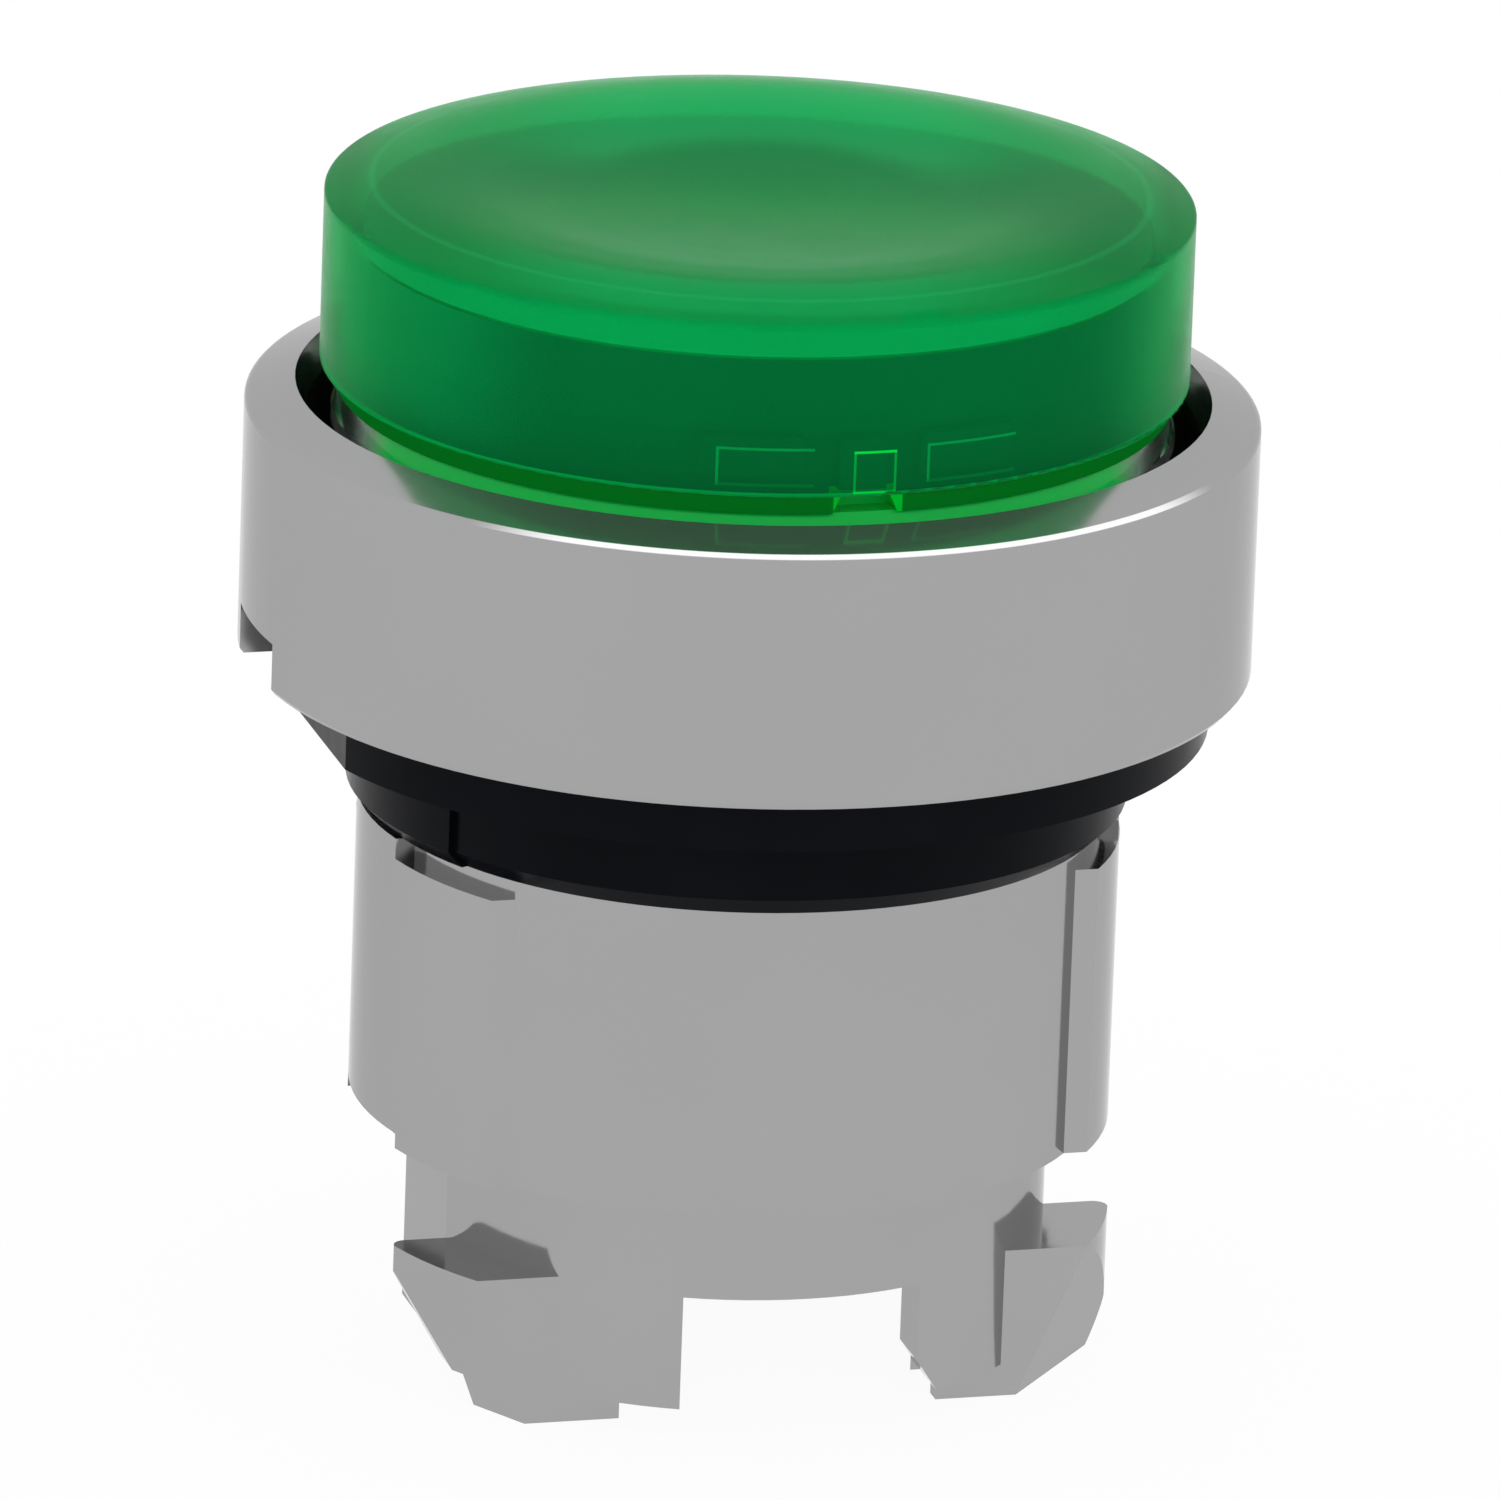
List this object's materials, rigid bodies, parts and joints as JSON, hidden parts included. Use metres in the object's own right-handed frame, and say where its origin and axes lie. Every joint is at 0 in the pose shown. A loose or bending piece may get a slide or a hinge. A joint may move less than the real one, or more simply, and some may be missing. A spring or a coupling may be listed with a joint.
{
  "type": "illuminated push-button head",
  "caption": "Round metal push-button head with a raised translucent green lens, chromed front ring, black panel gasket and a cast body with fixing hooks.",
  "frame": {"origin": "centre of the panel seating plane, on the push axis at the underside of the panel gasket's flange", "axes": "+Z out of the panel along the push axis towards the finger, -Y towards the lens key and the front gap of the body, +X to the right when the key faces you"},
  "size_m": [0.029, 0.029, 0.0348],
  "materials": {
    "cast_metal": "satin",
    "bright_metal": "polished",
    "black_rubber": "matt",
    "black_plastic": "satin",
    "spring_steel": "satin",
    "green_lens": "translucent gloss",
    "clear_plastic": "clear gloss",
    "opal_plastic": "satin",
    "white_plastic": "satin"
  },
  "bodies": {
    "housing": {"barrel_body": "cast_metal", "bezel_ring": "bright_metal", "bezel_seal": "black_rubber", "bore_liner": "black_plastic", "panel_gasket": "black_rubber", "guide_bush": "black_plastic", "lip_seal": "black_rubber", "seal_retainer": "spring_steel", "rear_bush": "black_plastic", "lower_washer": "spring_steel", "return_spring": "spring_steel"},
    "plunger": {"lens_cap": "green_lens", "lens_carrier": "clear_plastic", "diffuser_disc": "opal_plastic", "plunger_sleeve": "white_plastic", "light_guide": "clear_plastic", "guide_ring": "white_plastic", "stop_clip": "spring_steel", "upper_washer": "spring_steel"}
  },
  "joints": [
    {"name": "push", "type": "slide", "parent": "housing", "child": "plunger", "axis": [0, 0, -1], "range_m": [0, 0.0038], "stiffness_N_per_m": 600, "springref_m": -0.0045, "deforming": ["return_spring"]}
  ]
}
